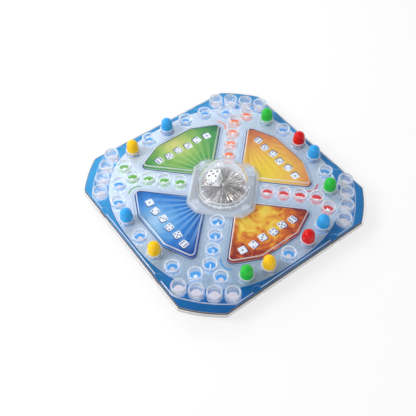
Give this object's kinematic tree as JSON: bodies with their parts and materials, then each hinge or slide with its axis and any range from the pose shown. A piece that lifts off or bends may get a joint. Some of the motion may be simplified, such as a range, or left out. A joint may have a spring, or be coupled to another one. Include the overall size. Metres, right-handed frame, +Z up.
{
  "type": "pop up dice board game",
  "caption": "Square board game with a clear pegged track over a printed card and a press dome that pops a die in the middle.",
  "frame": {"origin": "centre of the underside of the tray", "axes": "+Z up out of the board; +X and +Y square to the board's long sides"},
  "size_m": [0.22, 0.22, 0.047],
  "materials": {
    "tray_plastic": "satin",
    "printed_card": "gloss",
    "clear_board_plastic": "gloss",
    "clear_cup_plastic": "gloss",
    "clear_housing_plastic": "satin",
    "clear_dome_plastic": "polished",
    "silvered_plastic": "polished",
    "spring_steel": "satin",
    "screw_steel": "satin",
    "white_die_plastic": "gloss",
    "peg_blue_plastic": "gloss",
    "peg_yellow_plastic": "gloss",
    "peg_green_plastic": "gloss",
    "peg_red_plastic": "gloss"
  },
  "bodies": {
    "root": {"base_tray": "tray_plastic", "printed_card": "printed_card", "clear_board": "clear_board_plastic", "track_peg_cups": "clear_cup_plastic", "finish_peg_cups": "clear_cup_plastic", "start_peg_cups": "clear_cup_plastic", "popper_housing": "clear_housing_plastic", "snap_strip": "spring_steel", "popper_screws": "screw_steel"},
    "popper": {"dome": "clear_dome_plastic", "dice_floor": "silvered_plastic"},
    "die": {"die": "white_die_plastic"},
    "peg_blue_1": {"peg_blue_1": "peg_blue_plastic"},
    "peg_blue_2": {"peg_blue_2": "peg_blue_plastic"},
    "peg_blue_3": {"peg_blue_3": "peg_blue_plastic"},
    "peg_blue_4": {"peg_blue_4": "peg_blue_plastic"},
    "peg_yellow_1": {"peg_yellow_1": "peg_yellow_plastic"},
    "peg_yellow_2": {"peg_yellow_2": "peg_yellow_plastic"},
    "peg_yellow_3": {"peg_yellow_3": "peg_yellow_plastic"},
    "peg_green_1": {"peg_green_1": "peg_green_plastic"},
    "peg_green_2": {"peg_green_2": "peg_green_plastic"},
    "peg_green_3": {"peg_green_3": "peg_green_plastic"},
    "peg_red_1": {"peg_red_1": "peg_red_plastic"},
    "peg_red_2": {"peg_red_2": "peg_red_plastic"}
  },
  "joints": [
    {"name": "dome_press", "type": "slide", "parent": "root", "child": "popper", "axis": [0, 0, -1], "range_m": [0, 0.003], "stiffness_N_per_m": 5000, "springref_m": -0.0006, "deforming": ["snap_strip"]},
    {"name": "die_hop", "type": "slide", "parent": "popper", "child": "die", "axis": [0.5248, 0.2909, 0.8], "range_m": [0, 0.005]},
    {"name": "peg_blue_1_lift", "type": "slide", "parent": "root", "child": "peg_blue_1", "axis": [0, 0, 1], "range_m": [0, 0.012]},
    {"name": "peg_blue_2_lift", "type": "slide", "parent": "root", "child": "peg_blue_2", "axis": [0, 0, 1], "range_m": [0, 0.012]},
    {"name": "peg_blue_3_lift", "type": "slide", "parent": "root", "child": "peg_blue_3", "axis": [0, 0, 1], "range_m": [0, 0.012]},
    {"name": "peg_blue_4_lift", "type": "slide", "parent": "root", "child": "peg_blue_4", "axis": [0, 0, 1], "range_m": [0, 0.012]},
    {"name": "peg_yellow_1_lift", "type": "slide", "parent": "root", "child": "peg_yellow_1", "axis": [0, 0, 1], "range_m": [0, 0.012]},
    {"name": "peg_yellow_2_lift", "type": "slide", "parent": "root", "child": "peg_yellow_2", "axis": [0, 0, 1], "range_m": [0, 0.012]},
    {"name": "peg_yellow_3_lift", "type": "slide", "parent": "root", "child": "peg_yellow_3", "axis": [0, 0, 1], "range_m": [0, 0.012]},
    {"name": "peg_green_1_lift", "type": "slide", "parent": "root", "child": "peg_green_1", "axis": [0, 0, 1], "range_m": [0, 0.012]},
    {"name": "peg_green_2_lift", "type": "slide", "parent": "root", "child": "peg_green_2", "axis": [0, 0, 1], "range_m": [0, 0.012]},
    {"name": "peg_green_3_lift", "type": "slide", "parent": "root", "child": "peg_green_3", "axis": [0, 0, 1], "range_m": [0, 0.012]},
    {"name": "peg_red_1_lift", "type": "slide", "parent": "root", "child": "peg_red_1", "axis": [0, 0, 1], "range_m": [0, 0.012]},
    {"name": "peg_red_2_lift", "type": "slide", "parent": "root", "child": "peg_red_2", "axis": [0, 0, 1], "range_m": [0, 0.012]}
  ]
}
